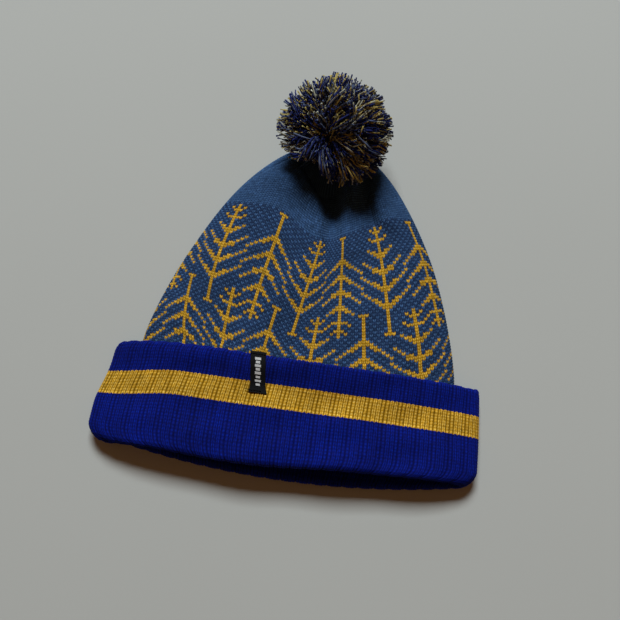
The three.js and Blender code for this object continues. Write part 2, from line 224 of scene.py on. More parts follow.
def mesh_piece(name, points, faces, materials, tint=None, relief=None, material_of_face=None):
    """A mesh object from points in millimetres and quads.

    tint is a brightness for each face and relief a height for each point, from 0 in a groove to 1 on a ridge,
    which the yarn materials also turn into painted shade in the grooves and a painted highlight on the
    ridges.
    """
    mesh = bpy.data.meshes.new(name)
    points = metres(points).reshape(-1, 3)
    used, compact = np.unique(faces, return_inverse=True)
    faces = compact.reshape(faces.shape)
    points = points[used]
    mesh.vertices.add(len(points))
    mesh.vertices.foreach_set("co", points.astype(np.float32).ravel())
    mesh.loops.add(faces.size)
    mesh.loops.foreach_set("vertex_index", faces.astype(np.int32).ravel())
    mesh.polygons.add(len(faces))
    mesh.polygons.foreach_set("loop_start", np.arange(0, faces.size, 4, dtype=np.int32))
    mesh.update(calc_edges=True)
    mesh.polygons.foreach_set("use_smooth", np.full(len(faces), True))
    for material in materials:
        mesh.materials.append(material)
    if material_of_face is not None:
        mesh.polygons.foreach_set("material_index", material_of_face.astype(np.int32))
    tint = np.ones(len(faces)) if tint is None else tint
    relief = np.ones(len(points)) if relief is None else relief.ravel()[used]
    for layer, domain, values in (("tint", "FACE", tint), ("relief", "POINT", relief)):
        mesh.attributes.new(layer, "FLOAT", domain).data.foreach_set("value", values.astype(np.float32))
    mesh.update()
    piece = bpy.data.objects.new(name, mesh)
    bpy.context.scene.collection.objects.link(piece)
    return piece


def grid_normals(points):
    """Outward normals of a grid of points that wraps round its columns."""
    along = np.gradient(points, axis=0)
    across = np.roll(points, -1, axis=1) - np.roll(points, 1, axis=1)
    return unit(np.cross(across, along))


def place(piece, body, slot, *replaced):
    """A finished piece rides a body and stands for CAD nodes, which it hides; slot is not used."""
    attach(piece, body)
    if replaced:
        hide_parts(*replaced)


def join_parts(parts):
    """Points and quads of several parts as one."""
    starts = np.cumsum([0] + [len(points) for points, _ in parts])
    faces = [part_faces + start for (_, part_faces), start in zip(parts, starts)]
    return np.concatenate([points for points, _ in parts]), np.concatenate(faces)


# ---- materials


def linear(red, green, blue):
    """A colour given as 8-bit screen values, in the linear values that a shader takes."""
    values = []
    for value in (red, green, blue):
        value /= 255
        values.append(value / 12.92 if value <= 0.04045 else ((value + 0.055) / 1.055) ** 2.4)
    return (*values, 1)


class Nodes:
    """Adds and links the nodes of one material."""

    def __init__(self, name):
        self.material = bpy.data.materials.new(name)
        self.material.use_nodes = True
        self.tree = self.material.node_tree
        self.shader = self.tree.nodes["Principled BSDF"]

    def add(self, kind, settings=None, **inputs):
        """A node with the given settings and inputs, where _ in an input's name stands for a space."""
        node = self.tree.nodes.new(kind)
        for key, value in (settings or {}).items():
            setattr(node, key, value)
        for key, value in inputs.items():
            self.feed(node.inputs[key.replace("_", " ")], value)
        return node

    def feed(self, socket, value):
        """A socket takes a link from another one, or a fixed value."""
        if isinstance(value, bpy.types.NodeSocket):
            self.tree.links.new(value, socket)
        else:
            socket.default_value = value

    def math(self, operation, first, second=0.0, third=0.0):
        node = self.tree.nodes.new("ShaderNodeMath")
        node.operation = operation
        for socket, value in zip(node.inputs, (first, second, third)):
            self.feed(socket, value)
        return node.outputs[0]

    def ramp(self, value, low, high, to_low=0.0, to_high=1.0):
        limits = {"From_Min": low, "From_Max": high, "To_Min": to_low, "To_Max": to_high}
        return self.add("ShaderNodeMapRange", None, Value=value, **limits).outputs[0]

    def place(self):
        """The place on the object, in metres."""
        return self.add("ShaderNodeTexCoord").outputs["Object"]

    def noise(self, scale, detail=2.0, roughness=0.5):
        grain = {"Scale": scale, "Detail": detail, "Roughness": roughness}
        return self.add("ShaderNodeTexNoise", None, Vector=self.place(), **grain).outputs["Fac"]

    def threads(self, direction, scale, distortion):
        bands = {"bands_direction": direction}
        node = self.add("ShaderNodeTexWave", bands, Vector=self.place(), Scale=scale, Distortion=distortion)
        return node.outputs["Fac"]

    def attribute(self, name):
        return self.add("ShaderNodeAttribute", {"attribute_name": name}).outputs["Fac"]

    def surface(self, colour, roughness, height=None, strength=0.0, depth=0.0, **constants):
        """Colour, roughness, bump of a depth in metres, and values that are the same all over."""
        self.feed(self.shader.inputs["Base Color"], colour)
        self.feed(self.shader.inputs["Roughness"], roughness)
        if height is not None:
            bump = self.add("ShaderNodeBump", None, Strength=strength, Distance=depth, Height=height)
            self.feed(self.shader.inputs["Normal"], bump.outputs[0])
        for name, value in constants.items():
            self.shader.inputs[name.replace("_", " ")].default_value = value
        return self.material

    def mix(self, share, first, second, blend="MIX"):
        node = self.tree.nodes.new("ShaderNodeMix")
        node.data_type = "RGBA"
        node.blend_type = blend
        self.feed(node.inputs[0], share)
        self.feed(node.inputs[6], first)
        self.feed(node.inputs[7], second)
        return node.outputs[2]


def yarn_material(name, colour, pale, sheen, groove=0.45, fibre=0.35):
    """Spun yarn: a colour that varies from fibre to fibre and from place to place, paler and fuzzy on the
    ridges as a painted highlight, and darkened to `groove` between them as painted shade."""
    n = Nodes(name)
    fibres = n.noise(2600.0, 3.0, 0.6)
    heather = n.noise(700.0)
    patches = n.noise(28.0)
    relief = n.attribute("relief")
    # painted highlight: the ridges turn toward the pale colour, patchy and fuzzy
    fuzz_and_highlight = n.math("MULTIPLY", n.ramp(relief, 0.55, 1.0), n.ramp(heather, 0.35, 0.75, 0.15, 0.85))
    light = n.ramp(fibres, 0.25, 0.75, 1 - fibre, 1 + fibre)
    light = n.math("MULTIPLY", light, n.ramp(patches, 0.3, 0.7, 0.88, 1.12))
    # painted shade: the grooves between stitches are darkened to `groove` of the yarn's colour
    light = n.math("MULTIPLY", light, n.ramp(relief, 0.0, 0.8, groove, 1.0))
    light = n.math("MULTIPLY", light, n.attribute("tint"))
    shade = n.add("ShaderNodeCombineColor", None, Red=light, Green=light, Blue=light).outputs[0]
    yarn_colour = n.mix(1.0, n.mix(fuzz_and_highlight, colour, pale), shade, "MULTIPLY")
    return n.surface(
        yarn_colour, n.ramp(heather, 0.3, 0.7, 0.78, 0.98), fibres, 0.55, 0.00025,
        Specular_IOR_Level=0.12, Sheen_Weight=sheen, Sheen_Roughness=0.45, Sheen_Tint=pale,
    )


ROYAL = yarn_material("royal_rib_yarn", linear(2, 16, 110), linear(12, 50, 180), 0.02, 0.35)
GOLD = yarn_material("gold_yarn", linear(200, 146, 20), linear(255, 232, 140), 0.08, 0.1, fibre=0.45)
SLATE = yarn_material("slate_knit_yarn", linear(45, 74, 116), linear(104, 136, 174), 0.1, 0.12)
INDIGO = yarn_material("indigo_ground_yarn", linear(31, 50, 86), linear(70, 94, 134), 0.1, 0.15)
NAVY = yarn_material("navy_yarn", linear(20, 26, 74), linear(60, 74, 150), 0.2)
POM_SLATE = yarn_material("pom_slate_yarn", linear(66, 76, 106), linear(124, 132, 156), 0.2)
POM_GOLD = yarn_material("pom_gold_yarn", linear(166, 144, 72), linear(232, 218, 156), 0.15)
IVORY = yarn_material("ivory_yarn", linear(156, 154, 134), linear(228, 224, 206), 0.2)


def floor_material():
    """Plain matt paper, very slightly cloudy."""
    n = Nodes("pale_floor")
    cloudy = n.noise(3.0)
    colour = n.mix(cloudy, linear(176, 175, 172), linear(182, 181, 178))
    return n.surface(colour, n.ramp(cloudy, 0.3, 0.7, 0.85, 0.95), Specular_IOR_Level=0.2)


def satin_material():
    """White satin with fine warp and weft."""
    n = Nodes("white_satin")
    weave = n.math("MULTIPLY", n.threads("Y", 900.0, 0.6), n.threads("X", 700.0, 0.6))
    colour = n.mix(weave, linear(212, 208, 198), linear(240, 238, 232))
    return n.surface(colour, n.ramp(weave, 0.0, 1.0, 0.32, 0.48), weave, 0.3, 0.0001, Sheen_Weight=0.4)


def label_material(name, dark, light):
    """Damask woven tape: fine weft with lint and a slight gloss."""
    n = Nodes(name)
    weft = n.threads("Y", 1100.0, 0.8)
    lint = n.noise(1500.0, 3.0, 0.6)
    colour = n.mix(n.math("MULTIPLY", weft, lint), dark, light)
    roughness = n.ramp(lint, 0.3, 0.7, 0.55, 0.8)
    return n.surface(colour, roughness, weft, 0.5, 0.0001, Sheen_Weight=0.03, Specular_IOR_Level=0.12)


LABEL_BLACK = label_material("black_label_tape", linear(4, 4, 6), linear(16, 16, 20))
LABEL_WHITE = label_material("label_figure_thread", linear(190, 190, 192), linear(250, 250, 250))
SATIN = satin_material()

# ---- camera, light and floor

CAMERA_AT = Vector((0.0226, -0.1448, 0.4148))
CAMERA_AIM = Vector((0.0044, -0.0185, 0.0))
SENSOR_MM = 36.0
FOCAL_TO_WIDTH = 1.129
FLOOR_SIDE = 6.0
FLOOR_STEPS = 12


def add_camera():
    data = bpy.data.cameras.new("camera")
    data.sensor_width = SENSOR_MM
    data.lens = SENSOR_MM * FOCAL_TO_WIDTH
    data.clip_start = 0.01
    camera = bpy.data.objects.new("camera", data)
    camera.location = CAMERA_AT
    camera.rotation_euler = (CAMERA_AIM - CAMERA_AT).to_track_quat("-Z", "Y").to_euler()
    bpy.context.scene.collection.objects.link(camera)
    bpy.context.scene.camera = camera


def add_area_light(name, place_at, size, power, colour):
    """A rectangular light that faces the middle of the hat."""
    data = bpy.data.lights.new(name, "AREA")
    data.shape = "RECTANGLE"
    data.size, data.size_y = size
    data.energy = power
    data.color = colour
    light = bpy.data.objects.new(name, data)
    light.location = place_at
    light.rotation_euler = (-Vector(place_at)).to_track_quat("-Z", "Y").to_euler()
    bpy.context.scene.collection.objects.link(light)


def add_floor():
    """A level sheet, far wider than the view."""
    span = np.linspace(-FLOOR_SIDE / 2, FLOOR_SIDE / 2, FLOOR_STEPS + 1)
    y, x = np.meshgrid(span, span, indexing="ij")
    points = hat_mm(xyz(x, y, 0))
    faces = grid_faces(*points.shape[:2], wrap=False)
    mesh_piece("floor", points, faces, [floor_material()])


def add_studio():
    """One soft window behind the pom, and faint warm light from the rest of the room."""
    world = bpy.data.worlds.new("studio")
    world.use_nodes = True
    background = world.node_tree.nodes["Background"]
    background.inputs["Color"].default_value = (1.0, 0.52, 0.22, 1)
    background.inputs["Strength"].default_value = 0.09
    bpy.context.scene.world = world
    add_area_light("window", (-0.33, 2.24, 2.62), (1.4, 1.0), 131.0, (0.86, 0.97, 1.0))
    add_area_light("room", (0.1, -1.6, 2.6), (2.4, 1.8), 3.4, (1.0, 0.5, 0.2))
    bpy.context.scene.view_settings.view_transform = "Standard"


add_camera()
add_studio()
add_floor()

# ---- knit

DENSE_SHARES = np.linspace(0, 1, 900)  # places round the tube at which its length is measured


def equal_spacing(points, shares):
    """Where round each row, as a share of its parameter, lie the given shares of the row's own length."""
    length = lengths_along(points)
    parameter = np.linspace(0, 1, points.shape[1])
    return np.stack([np.interp(shares, row / row[-1], parameter) for row in length])


def round_the_tube(share):
    """A share of the way round, from the middle of the back by the left fold, as (across, in front)."""
    turn = share * 2 - 0.5
    across = -np.cos(np.pi * turn)
    return across, (turn > 0) & (turn < 1)


def share_in_front(section, x, furthest):
    """The share of the way round the tube at which its front face has the given x."""
    across = (x - float(section["centre"])) / float(section["half_width"])
    turn = math.acos(-max(-furthest, min(furthest, across))) / math.pi
    return (turn + 0.5) / 2


def through(places, values, at):
    """A smooth curve through the given values at rising places, read at the given places."""
    places = np.asarray(places, dtype=float)
    values = np.asarray(values, dtype=float)
    slopes = np.gradient(values, places)
    index = np.clip(np.searchsorted(places, at, side="right") - 1, 0, len(places) - 2)
    gap = places[index + 1] - places[index]
    t = np.clip((at - places[index]) / gap, 0, 1)
    start = (1 + 2 * t) * (1 - t) ** 2 * values[index] + t * (1 - t) ** 2 * gap * slopes[index]
    end = t * t * (3 - 2 * t) * values[index + 1] - t * t * (1 - t) * gap * slopes[index + 1]
    return start + end


# Crown: its courses rise from the middle to the folds, because the hem is wider than the knit above it, and
# the loose top sinks into a valley that draws the wales together.
WALES = 190
COURSES = 103
COURSE = 1.72  # height of one course
FIRST_COURSE_Y = 15.0
COLUMNS_PER_WALE = 4
ROWS_PER_COURSE = 2
LOW_COURSE = 31
HIGH_COURSE = 69
TRUNK_LINES = (  # wale, then x and y of that wale on the low course and on the high course
    (65, -57.1, 84.4, -49.2, 150.3),
    (79, -29.9, 76.4, -20.6, 146.4),
    (93, -4.0, 69.8, 4.8, 130.8),
    (107, 22.9, 71.6, 17.9, 134.8),
    (121, 52.7, 77.9, 36.4, 146.0),
    (135, 82.0, 89.5, 57.2, 154.5),
)
LEFT_FOLD = ((48, 20.0), (57, 15.5))  # wale and rise of the fold on the low course and on the high course
RIGHT_FOLD = ((140, 23.0), (141, 20.5))
BACK_PLACES = ((0.08, 2.0), (0.17, 8.0))  # share of the way round and rise


def line_marks(high):
    """Wales, places round the tube and rises of the marked lines on the low or the high course."""
    course_y = FIRST_COURSE_Y + COURSE * ((HIGH_COURSE if high else LOW_COURSE) + 0.5)
    marks = []
    for wale, *places in TRUNK_LINES:
        x, y = places[2:] if high else places[:2]
        marks.append((wale, share_in_front(crown_section(y, 0), x, 0.985), y - course_y))
    marks.append((LEFT_FOLD[high][0], 0.25, LEFT_FOLD[high][1]))
    marks.append((RIGHT_FOLD[high][0], 0.75, RIGHT_FOLD[high][1]))
    return sorted(marks)


LOW_MARKS = np.array(line_marks(False))
HIGH_MARKS = np.array(line_marks(True))


def marks_at(course_y):
    """The marked lines at a course between the low and high ones or a little beyond them."""
    course = (course_y - FIRST_COURSE_Y) / COURSE
    t = min(1.0, max(-0.7, (course - LOW_COURSE) / (HIGH_COURSE - LOW_COURSE)))
    change = HIGH_MARKS - LOW_MARKS
    marks = LOW_MARKS + change * t
    marks[:, 2] = LOW_MARKS[:, 2] + change[:, 2] * max(t, -0.15)
    return marks


def course_dip(share, course_y):
    """How far a course lies above its even height, round the tube."""
    marks = marks_at(course_y)
    back, back_rise = np.array([(0.0, 0.0), *BACK_PLACES]).T
    places = np.concatenate([back, marks[:, 1], 1 - back[::-1]])
    rises = np.concatenate([back_rise, marks[:, 2], back_rise[::-1]])
    scale = min(1.0, max(0.0, (CROWN_END - course_y) / 70))
    return scale * through(places, rises, share)


VALLEY = (  # y, then the valley's left edge, right edge and depth
    (112, 8.0, 16.0, 0.0),
    (130, 8.0, 16.0, 2.6),
    (145, 7.0, 15.0, 5.5),
    (158, 3.5, 14.0, 8.5),
    (172, -6.0, 13.0, 11.0),
    (190, -16.0, 12.0, 10.0),
    (199, -14.0, 10.0, 5.0),
    (205, -10.0, 8.0, 0.5),
)


def crown_folds(x, y, in_front):
    """How far the crown's loose top stands out from or falls into its even shape."""
    heights, lefts, rights, depths = (np.array(column, dtype=float) for column in zip(*VALLEY))
    left = np.interp(y, heights, lefts)
    right = np.interp(y, heights, rights)
    trough = between(x, left - 4.5, left + 3.0, right - 3.5, right + 4.5)
    front = -np.interp(y, heights, depths) * trough
    # The broad lobe to the valley's left and the sharp ridge to its right.
    loose = between(y, 146, 166, 170, 187)
    front += loose * (5.6 * bump_at(x, left - 14.0, 13.0) + 5.0 * bump_at(x, right + 6.0, 4.5))
    # A groove that runs up to the hole from the right, and the swell beyond it.
    groove_x = 26 + 0.34 * np.maximum(180 - y, -4)
    groove = between(y, 142, 152, 170, 186)
    front += groove * (3.6 * bump_at(x, groove_x + 9.5, 7.0) - 3.4 * bump_at(x, groove_x, 3.0))
    # The dart that shows on the left shoulder.
    front -= 1.1 * between(y, 158, 166, 188, 198) * bump_at(x, -57.2 + 1.26 * (y - 162.6), 1.8)
    front += soft_waves(x, y, 0.9, 0.4)
    back = 2.2 * smoothstep(y, 130, 178) * bump_at(x, 1.0 + 0.05 * (190 - y), 8.0)
    back -= 1.2 * smoothstep(y, 140, 185) * bump_at(x, -15.0, 7.0)
    return np.where(in_front, front, back)


def crown_surface(course_y, share, inset=0.0, lift=0.0):
    """Points of the crown's face for courses at course_y, at shares of the way round, and raised by lift."""
    across, in_front = round_the_tube(share)
    dip = np.stack([course_dip(row, float(base_y)) for row, base_y in zip(share, course_y[:, 0])])
    y = course_y + lift + dip
    section = crown_section(y, inset)
    x = tube_x(section, across)
    z = tube_height(section, across, in_front) + (1 - np.abs(across) ** 6) * crown_folds(x, y, in_front)
    lowest = np.where(in_front, section["bottom"] + 2.6 - inset, 0.6 + inset)
    return xyz(x, y, np.maximum(z, lowest))


TREE_HEIGHT = 38  # courses
TREE_BRANCHES = ((9, 7, 6), (15, 7, 6), (21, 6, 5), (27, 4, 3), (32, 3, 2), (36, 2, 1))  # row, reach, rise
TREE_PITCH = 28  # wales from one upright tree to the next


def tree_cells():
    """The stitches of one tree as (course above its foot, wale from its trunk)."""
    cells = {(row, 0) for row in range(TREE_HEIGHT + 1)}
    cells |= {(0, -1), (0, 1)}
    for row, reach, rise in TREE_BRANCHES:
        for side in (-1, 1):
            for step in range(1, reach + 1):
                level = row + round(rise * step / reach)
                cells.add((level, side * step))
                if step <= 0.5 * reach and reach > 3:
                    cells.add((level - 1, side * step))
    return cells


GROUND, GOLD_STITCH, PLAIN = 0, 1, 2
MOTIF_TOP = 71  # the first plain course
UPPER_TREES_FROM = 31
FRONT_TRUNK = 93  # wale of the trunk nearest the front's middle
LOWER_SHIFT = 7  # wales from an upper tree to the lower one beside it


def crown_pattern():
    """Which yarn each stitch of the crown shows."""
    pattern = np.full((COURSES, WALES), PLAIN)
    pattern[:MOTIF_TOP] = GROUND
    upright = tree_cells()
    inverted = {(TREE_HEIGHT - row, wale) for row, wale in upright}
    for foot, shift in ((UPPER_TREES_FROM, 0), (0, LOWER_SHIFT)):
        for trunk in range(FRONT_TRUNK % TREE_PITCH + shift, WALES + TREE_PITCH, TREE_PITCH):
            for cells, offset in ((upright, 0), (inverted, TREE_PITCH // 2)):
                for row, wale in cells:
                    pattern[foot + row, (trunk + offset + wale) % WALES] = GOLD_STITCH
    return pattern


def crown_grid(rows_y, zigzag, shares, inset=0.0):
    """Points of the crown at heights along its courses, with each wale on its own line up the tube."""
    heights = rows_y[:, None]
    length = lengths_along(crown_surface(heights, np.tile(DENSE_SHARES, (len(rows_y), 1)), inset))
    even = np.zeros((len(rows_y), len(shares)))
    for row, row_y in enumerate(rows_y):
        marks = marks_at(row_y)
        wales = np.concatenate([[0], marks[:, 0], [WALES]])
        along = np.concatenate([[0], np.interp(marks[:, 1], DENSE_SHARES, length[row]), [length[row, -1]]])
        even[row] = np.interp(through(wales, along, shares * WALES), length[row], DENSE_SHARES)
    return crown_surface(heights, even, inset, zigzag[None, :])


CLOSING_ROWS = 16
HOLE_RADIUS = 2.5
HOLE_RIM_HEIGHT = 1.3  # above the pom's pivot
TURNED_IN = (0.5, 1.1, 1.8)  # how far below the rim the rows inside the hole lie
SHOWN_FROM = 41.0  # the crown below this height is hidden by the cuff
CROWN_STITCH_DEPTH = 1.0
TINT_SPREAD = 0.13  # how much one stitch's brightness differs from the next


def closing_rows(last_row, shares, steps):
    """Rows that gather the crown's last course into the hole that the pom's cord leaves by."""
    angle = 2 * np.pi * shares
    outward = xyz(-np.sin(angle), np.cos(angle), 0)
    behind = (1 + np.cos(angle)) / 2
    hole = PIVOT + np.array([0, 0, HOLE_RIM_HEIGHT])
    rim = hole + HOLE_RADIUS * outward
    onward = 1.5 + 13.0 * behind
    leaving = last_row + xyz(0, onward, 0.5 * behind)
    arriving = hole + outward * (5.0 + 4.5 * behind)[:, None]
    arriving[:, 2] += 0.4 + 0.6 * behind
    pleat = np.cos(9 * angle + 0.8 * np.sin(2 * angle)) + 0.5 * np.cos(14 * angle + 1.3)
    rows = []
    for step in steps:
        back = 1 - step
        row = back**3 * last_row + step**3 * rim
        row += 3 * back * step * (back * leaving + step * arriving)
        row = row + outward * (0.225 * np.sin(np.pi * min(1, step * 1.1)) * pleat)[:, None]
        row[:, 2] += 0.5 * step * (1 - 0.6 * step) * pleat
        rows.append(row)
    for drop in TURNED_IN:
        rows.append(rim - np.array([0, 0, drop]) - outward * 0.1 * drop)
    return np.stack(rows)


def build_crown():
    """The crown's face, every stitch of it, with the gathered end."""
    columns = WALES * COLUMNS_PER_WALE
    shares = np.arange(columns) / columns
    phase = np.tile(np.arange(COLUMNS_PER_WALE) / COLUMNS_PER_WALE, WALES)
    zigzag = 0.5 * COURSE * np.abs(2 * phase - 1)
    rows_y = FIRST_COURSE_Y + COURSE * np.arange(COURSES * ROWS_PER_COURSE + 1) / ROWS_PER_COURSE
    base = crown_grid(rows_y, zigzag, shares)
    steps = np.linspace(0, 1, CLOSING_ROWS + 1)[1:]
    base = np.concatenate([base, closing_rows(base[-1], shares, steps)])
    rows = len(base)

    # Each stitch is a V: its two legs stand up, and the middle and the row between two courses are sunken.
    across = np.maximum(np.abs(np.sin(2 * np.pi * phase)), np.where(np.isclose(phase, 0.5), 0.35, 0.0))
    along = np.where(np.arange(rows) % ROWS_PER_COURSE == 0, 0.45, 1.0)
    # relief also paints shade into the sunken middles and rows and a highlight onto the legs
    relief = along[:, None] * (0.25 + 0.75 * across[None, :])
    gathered = CLOSING_ROWS + len(TURNED_IN)
    fade = np.ones(rows)
    fade[-gathered:] = np.linspace(1, 0.2, gathered)
    height = CROWN_STITCH_DEPTH * (relief - 0.5) * fade[:, None]
    points = base + grid_normals(base) * height[..., None]
    points[..., 2] = np.maximum(points[..., 2], FLOOR_GAP)

    # Colours go by whole stitches. The ground is a checker of indigo and slate yarn.
    stitch_row = np.minimum(np.arange(rows - 1) // ROWS_PER_COURSE, COURSES - 1)[:, None]
    stitch_wale = (np.arange(columns) // COLUMNS_PER_WALE)[None, :]
    pattern = crown_pattern()
    slate_checker = (np.arange(COURSES)[:, None] + np.arange(WALES)[None, :]) % 2 == 1
    stitch_tint = np.clip(rng.normal(1.0, TINT_SPREAD, (COURSES, WALES)), 0.6, 1.5)
    stitch_tint[pattern == GROUND] *= np.where(slate_checker, 1.06, 0.97)[pattern == GROUND]
    yarn = pattern[stitch_row, stitch_wale]
    yarn[-gathered:] = PLAIN
    yarn[(yarn == GROUND) & slate_checker[stitch_row, stitch_wale]] = PLAIN

    shown = base[:-1, :, 1].ravel() > SHOWN_FROM
    piece = mesh_piece(
        "crown_knit", points, grid_faces(rows, columns)[shown], [INDIGO, GOLD, SLATE],
        stitch_tint[stitch_row, stitch_wale].ravel()[shown], relief, yarn.ravel()[shown],
    )
    place(piece, "hat", "slate_knit", "crown_shell")


LINING_COLUMNS = 196
LINING_ROWS = 60
LINING_HEIGHTS = (18, 188)
FLOAT_DEPTH = 0.12


def build_crown_lining():
    """The crown's inner face, where the unused yarns float."""
    columns = LINING_COLUMNS
    shares = np.arange(columns) / columns
    rows_y = np.linspace(*LINING_HEIGHTS, LINING_ROWS)
    base = crown_grid(rows_y, np.zeros(columns), shares, KNIT_THICKNESS)
    floats = FLOAT_DEPTH * (-1.0) ** np.arange(columns)
    points = base - grid_normals(base) * floats[None, :, None]
    shown = base[:-1, :, 1].ravel() > LINK_HEIGHT + 0.5
    faces = grid_faces(len(rows_y), columns)[shown, ::-1]
    # painted shade and highlight: the floats that lie deeper are darkened, the raised ones paled
    relief = 0.5 + floats[None, :] * 2 + 0 * base[..., 0]
    place(mesh_piece("crown_lining", points, faces, [SLATE], None, relief), "hat", "slate_knit")


# Rib: each rib is two knit wales that stand up and two sunken purl wales.
RIBS = 48
KNIT_SHARE = 0.52  # how much of a rib's width its knit wales take
KNIT_WALES = 2
PURL_WALES = 2
KNIT_COLUMNS = 12
PURL_COLUMNS = 10
RIB_COURSE = 1.7
STITCH_DEPTH = 0.62


def rib_columns():
    """Places of one rib's columns, as shares of its width."""
    knit = np.arange(KNIT_COLUMNS) / KNIT_COLUMNS * KNIT_SHARE
    purl = KNIT_SHARE + np.arange(PURL_COLUMNS) / PURL_COLUMNS * (1 - KNIT_SHARE)
    return np.concatenate([knit, purl])


BOW_HEIGHT = 44.0  # the hem's bow and tilt fade out over this height
DROOP = 4.6
LEFT_END = (62, 106)  # the drooping end, from where it starts to where it is full


def cuff_lean(x, y):
    """How far the cuff's front face hangs from its even shape: it droops at its left end."""
    hem = (1 - np.clip(y / BOW_HEIGHT, 0, 1)) ** 2
    droop = -DROOP * smoothstep(-x, *LEFT_END) * (0.55 + 0.45 * smoothstep(y, 4, 30))
    droop *= 1 - 0.75 * smoothstep(y, 34, 56)
    tilt = (0.6 + 2.2 * np.tanh((x - 8) / 26)) * hem * (1 - np.abs(x / 113) ** 4)
    top = 1.3 * smoothstep(y, 30, 56) * (bump_at(x, -68, 42) - 1.1)
    return droop + tilt + top


def cuff_surface(y, share, inset):
    """Points of the cuff at heights y, insets from its outer face and shares of the way round."""
    across, in_front = round_the_tube(share)
    section = cuff_section(y, inset)
    x = tube_x(section, across)
    z = tube_height(section, across, in_front)
    bow = HEM_BOW * (1 - np.minimum(1, y / BOW_HEIGHT)) ** 2 * np.maximum(0, 1 - (2 * x / HEM_WIDTH) ** 2)
    front_share = smoothstep(z, 7.0, 12.0)
    lean_share = np.maximum(front_share, smoothstep(-x, 86, 104))
    y_out = y - bow * (1 - 0.5 * front_share) + cuff_lean(x, y) * lean_share
    z = z + front_share * (1 - np.abs(across) ** 4) * soft_waves(x, 2.4 * y, 0.8, 1.9)
    z = z + 1.6 * front_share * bump_at(x, 8, 45) * smoothstep(y, 42, 55)
    z = np.where(in_front, z, np.maximum(z, 0.55 + inset))
    return xyz(x, y_out, z)


def rib_relief(position, courses):
    """The rib's stitches: relief, from 0 in a groove to 1 on a ridge, and height for each row and column, and
    how far each column's points are shifted into the shape of a V."""
    in_knit = position < KNIT_SHARE - 1e-6
    wale_phase = (position / KNIT_SHARE * KNIT_WALES) % 1.0
    leg = np.maximum(np.abs(np.sin(2 * np.pi * wale_phase)), np.where(np.isclose(wale_phase, 0.5), 0.45, 0))
    beat = 0.5 + 0.5 * np.cos(2 * np.pi * courses)
    knit = (0.1 + 0.9 * leg)[None, :] * (0.72 + 0.28 * beat)[:, None]
    panel = np.clip((position - KNIT_SHARE) / (1 - KNIT_SHARE), 0, 1)
    bump = np.sin(np.pi * ((PURL_WALES * panel) % 1.0)) ** 0.7
    purl = 0.05 + (0.55 + 0.3 * beat[:, None]) * bump[None, :]
    # relief also paints shade into the grooves and sunken purl wales and a highlight onto the knit legs
    relief = np.where(in_knit[None, :], knit, purl)
    sunk = 0.3 * np.sin(np.pi * panel) ** 0.5
    zigzag = RIB_COURSE * np.where(in_knit, -0.42 * np.abs(2 * wale_phase - 1), -0.21)
    return relief, STITCH_DEPTH * (relief - 0.6) - sunk[None, :], zigzag


def rib_grid(profile):
    """Points and relief of a band of rib along a profile, from its last row to its first."""
    heights, insets, outward, courses = np.array(profile[::-1]).T
    position = np.tile(rib_columns(), RIBS)
    shares = (np.repeat(np.arange(RIBS), len(position) // RIBS) + position) / RIBS
    relief, height, zigzag = rib_relief(position, courses)
    even = equal_spacing(cuff_surface(heights[:, None], DENSE_SHARES[None, :], insets[:, None]), shares)
    shifted = heights[:, None] + zigzag[None, :] * outward[:, None]
    base = cuff_surface(np.maximum(shifted, 0), even, insets[:, None])
    points = base + grid_normals(base) * height[..., None]
    points[..., 2] = np.maximum(points[..., 2], FLOOR_GAP)
    return points, relief


def rib_piece(name, profile, material, slot, replaced, fringe=0.0):
    """One colour of the rib; a fringe makes the stitches of its first and last course paler."""
    points, relief = rib_grid(profile)
    rows, columns = relief.shape
    legs = columns // 2
    per_stitch = rng.normal(1.0, TINT_SPREAD, (rows - 1, legs))
    per_stitch *= np.repeat(rng.normal(1.0, 0.05, RIBS), legs // RIBS)[None, :]
    per_stitch[[0, 1, -2, -1]] += fringe * rng.random((4, legs))
    tint = np.repeat(np.clip(per_stitch, 0.5, 1.8), 2, axis=1).ravel()
    piece = mesh_piece(name, points, grid_faces(rows, columns), [material], tint, relief)
    place(piece, "hat", slot, replaced)


def flat_rows(start, end, inset=0.0):
    """Profile rows from one height to another: (height, inset, how much of the V shape shows, course)."""
    count = round(abs(end - start) / RIB_COURSE * ROWS_PER_COURSE)
    return [(start + (end - start) * i / count, inset, 1.0, i / ROWS_PER_COURSE) for i in range(count + 1)]


RIM_RADIUS = 1.3  # of the cuff's rounded free edge
RIM_STEPS = 6
FOLD_STEPS = 9


